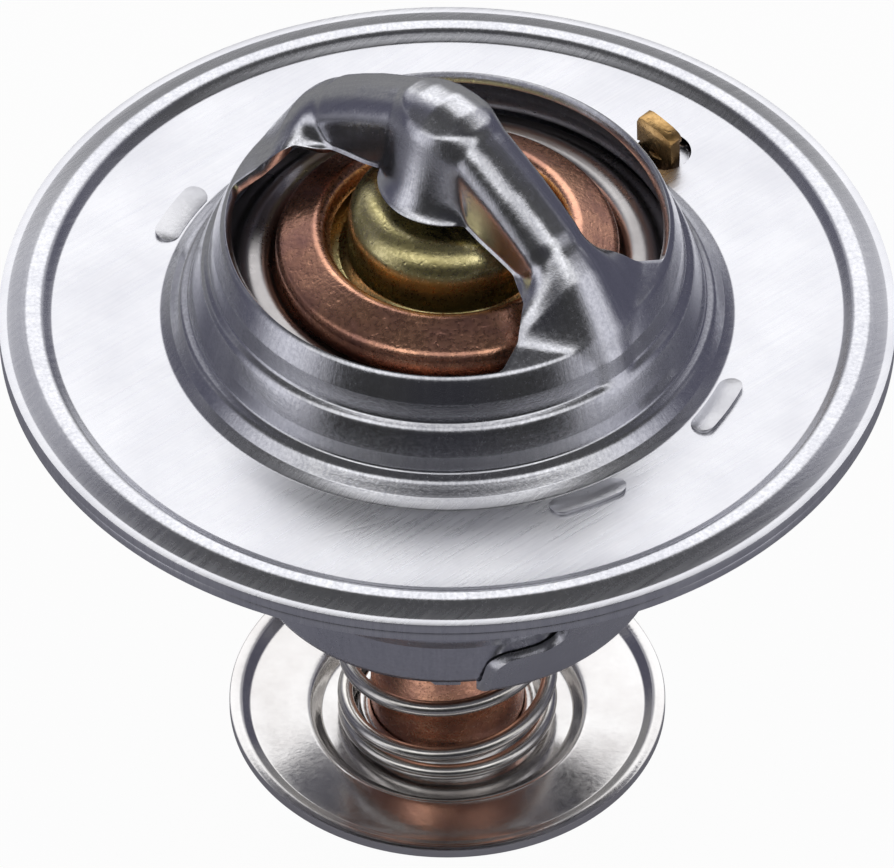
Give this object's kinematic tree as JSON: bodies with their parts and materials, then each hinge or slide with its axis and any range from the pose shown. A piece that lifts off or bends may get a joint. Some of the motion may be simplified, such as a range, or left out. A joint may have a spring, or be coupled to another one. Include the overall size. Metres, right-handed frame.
{
  "type": "engine thermostat",
  "caption": "Engine coolant thermostat insert with a round clamping flange, a bridged dome, a sliding wax element, two springs and a bypass disc.",
  "frame": {"origin": "centre of the flange, on the thermostat's axis, at the flange's upper face", "axes": "+Z along the thermostat's axis towards the bridge; the bridge runs at -45 degrees from +X and the air-bleed pin lies at +45 degrees"},
  "size_m": [0.067, 0.067, 0.0669],
  "materials": {
    "drawn_steel": "satin",
    "stirrup_steel": "satin",
    "disc_steel": "bright",
    "copper": "satin",
    "brass": "satin",
    "spring_wire": "bright",
    "piston_steel": "polished",
    "rubber": "matte",
    "backup_plastic": "matte",
    "wax": "waxy"
  },
  "bodies": {
    "frame": {"upper_frame": "drawn_steel", "lower_cup": "drawn_steel", "spring_carrier": "stirrup_steel", "piston": "piston_steel", "main_spring": "spring_wire"},
    "valve": {"valve_disc": "drawn_steel", "element_can": "copper", "element_guide": "brass", "rubber_boot": "rubber", "backup_ring": "backup_plastic", "wax_charge": "wax", "bypass_spring_seat": "disc_steel", "retaining_ring": "disc_steel", "bypass_spring": "spring_wire"},
    "bypass": {"bypass_disc": "disc_steel"},
    "bleed": {"jiggle_pin": "brass"}
  },
  "joints": [
    {"name": "valve_stroke", "type": "slide", "parent": "frame", "child": "valve", "axis": [0, 0, -1], "range_m": [0, 0.008], "stiffness_N_per_m": 4000, "springref_m": -0.012, "deforming": ["main_spring"]},
    {"name": "bypass_lift", "type": "slide", "parent": "valve", "child": "bypass", "axis": [0, 0, 1], "range_m": [0, 0.005], "stiffness_N_per_m": 800, "springref_m": -0.008, "deforming": ["bypass_spring"]},
    {"name": "bleed_lift", "type": "slide", "parent": "frame", "child": "bleed", "axis": [0, 0, 1], "range_m": [0, 0.0012]}
  ]
}
